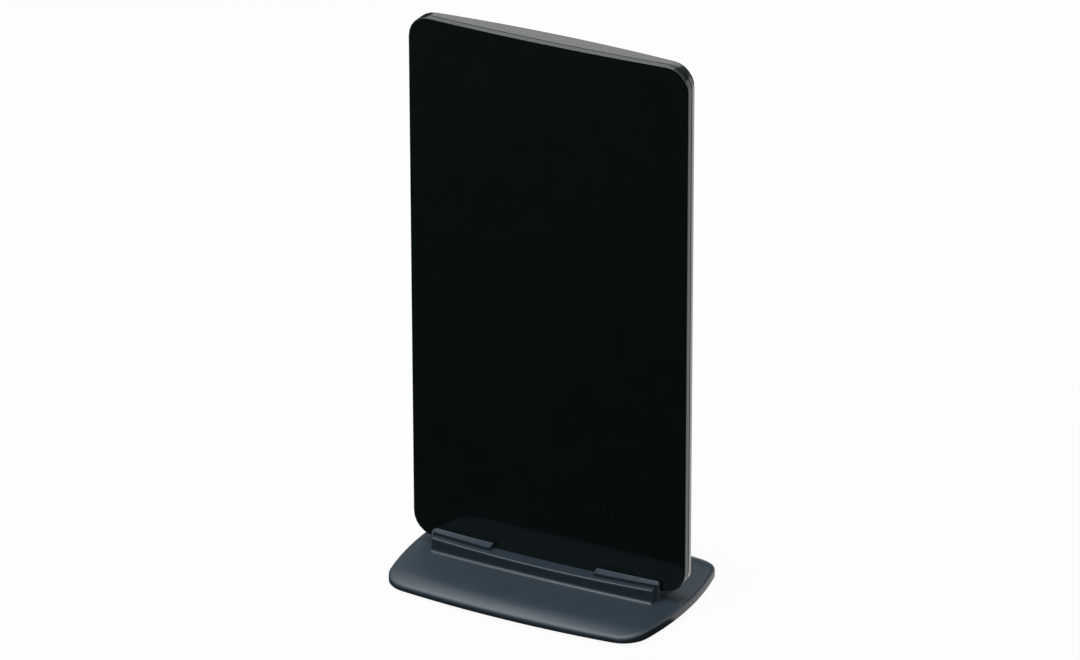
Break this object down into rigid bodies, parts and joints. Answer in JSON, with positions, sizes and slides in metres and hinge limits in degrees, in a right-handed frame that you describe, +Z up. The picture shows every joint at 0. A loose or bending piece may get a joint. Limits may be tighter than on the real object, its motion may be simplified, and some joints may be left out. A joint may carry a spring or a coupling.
{
  "type": "desktop uhf antenna",
  "caption": "Slim upright UHF television aerial panel on a low moulded stand, with a coaxial socket at its back.",
  "frame": {"origin": "middle of the stand's outline on the surface that its feet stand on", "axes": "+X along the panel to the right as seen from the front, +Y towards its back and the coaxial socket, +Z up"},
  "size_m": [0.11, 0.074, 0.211],
  "materials": {
    "front_gloss": "high-gloss black ABS, polished mould",
    "rear_satin": "satin black ABS, fine spark-eroded texture",
    "stand_satin": "satin dark blue-grey ABS",
    "tinplate": "bright tinned sheet steel",
    "board": "green lacquered glass-epoxy board",
    "ferrite": "sintered ferrite",
    "copper_wire": "enamelled copper wire",
    "chip_ceramic": "ceramic chip capacitor",
    "nickel": "nickel-plated brass",
    "insulator": "white polyethylene",
    "contact_brass": "tinned brass",
    "screw_steel": "zinc-plated steel",
    "plate_paint": "black powder coat on sheet steel",
    "foot_rubber": "moulded black rubber"
  },
  "bodies": {
    "root": {"front_cover": "front_gloss", "rear_cover": "rear_satin", "aerial_left": "tinplate", "aerial_right": "tinplate", "matching_board": "board", "balun_core": "ferrite", "balun_winding": "copper_wire", "chip_capacitors": "chip_ceramic", "connector_body": "nickel", "connector_insulator": "insulator", "connector_contact": "contact_brass", "earth_tag": "contact_brass", "connector_washer": "nickel", "connector_nut": "nickel", "cover_screws": "screw_steel", "stand_shell": "stand_satin", "bottom_plate": "plate_paint", "plate_screws": "screw_steel", "stand_screws": "screw_steel", "foot_front_left": "foot_rubber", "foot_front_right": "foot_rubber", "foot_rear_left": "foot_rubber", "foot_rear_right": "foot_rubber"}
  },
  "joints": []
}
